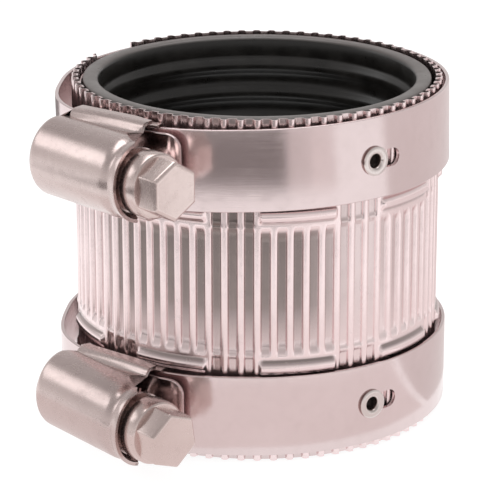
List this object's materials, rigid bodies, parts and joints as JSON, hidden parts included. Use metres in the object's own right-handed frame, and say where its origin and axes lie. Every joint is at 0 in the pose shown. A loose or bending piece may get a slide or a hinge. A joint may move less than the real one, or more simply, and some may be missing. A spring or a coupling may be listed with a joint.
{
  "type": "pipe coupling",
  "caption": "Hubless pipe coupling: rubber sleeve in a corrugated steel shield, tightened by worm-drive band clamps at both ends.",
  "frame": {"origin": "on the coupling's axis, in the plane of the lower rim that it stands on", "axes": "+Z along the pipe axis, from the lower rim to the upper rim; the worm housings are on -Y; the screws lie near X with their hex heads at +X, swung outward by 7.5 and 9 degrees"},
  "size_m": [0.0616, 0.0749, 0.054],
  "materials": {
    "shield_steel": "bright rolled sheet, lightly brushed",
    "black_rubber": "satin moulded rubber",
    "band_steel": "brushed along the band",
    "housing_steel": "satin pressed sheet",
    "screw_steel": "satin, machined",
    "eyelet_steel": "polished"
  },
  "bodies": {
    "shield": {"corrugated_shield": "shield_steel", "upper_eyelet": "eyelet_steel", "lower_eyelet": "eyelet_steel"},
    "gasket": {"gasket_sleeve": "black_rubber"},
    "upper_clamp": {"upper_band": "band_steel", "upper_housing": "housing_steel", "upper_saddle": "housing_steel"},
    "upper_tail": {"upper_band_tail": "band_steel"},
    "upper_screw": {"upper_worm_screw": "screw_steel"},
    "lower_clamp": {"lower_band": "band_steel", "lower_housing": "housing_steel", "lower_saddle": "housing_steel"},
    "lower_tail": {"lower_band_tail": "band_steel"},
    "lower_screw": {"lower_worm_screw": "screw_steel"}
  },
  "joints": [
    {"name": "gasket_slide", "type": "slide", "parent": "shield", "child": "gasket", "axis": [0, 0, 1], "range_m": [0, 0.056]},
    {"name": "upper_clamp_float", "type": "hinge", "parent": "shield", "child": "upper_clamp", "pos_m": [0, 0, 0.04645], "axis": [0, 0, 1], "range_deg": [-6.5, 0]},
    {"name": "upper_screw_turn", "type": "hinge", "parent": "upper_clamp", "child": "upper_screw", "pos_m": [-0.00081, -0.03646, 0.04645], "axis": [-0.9914, 0.1305, 0], "range_deg": [-180, 720]},
    {"name": "upper_tail_feed", "type": "hinge", "parent": "upper_clamp", "child": "upper_tail", "pos_m": [-0.00077, 0.00035, 0.04645], "axis": [0, 0, 1], "range_deg": [-2.85, 11.4]},
    {"name": "lower_clamp_float", "type": "hinge", "parent": "shield", "child": "lower_clamp", "pos_m": [0, 0, 0.00755], "axis": [0, 0, 1], "range_deg": [-6.5, 0]},
    {"name": "lower_screw_turn", "type": "hinge", "parent": "lower_clamp", "child": "lower_screw", "pos_m": [-0.00084, -0.03659, 0.00865], "axis": [-0.9871, 0.1563, 0.0349], "range_deg": [-180, 720]},
    {"name": "lower_tail_feed", "type": "hinge", "parent": "lower_clamp", "child": "lower_tail", "pos_m": [-0.00077, 0.00035, 0.00755], "axis": [0, 0, 1], "range_deg": [-2.85, 11.4]}
  ],
  "couplings": [
    {"joint": "upper_tail_feed", "follows": "upper_screw_turn", "ratio": 0.015791},
    {"joint": "lower_tail_feed", "follows": "lower_screw_turn", "ratio": 0.015791}
  ]
}
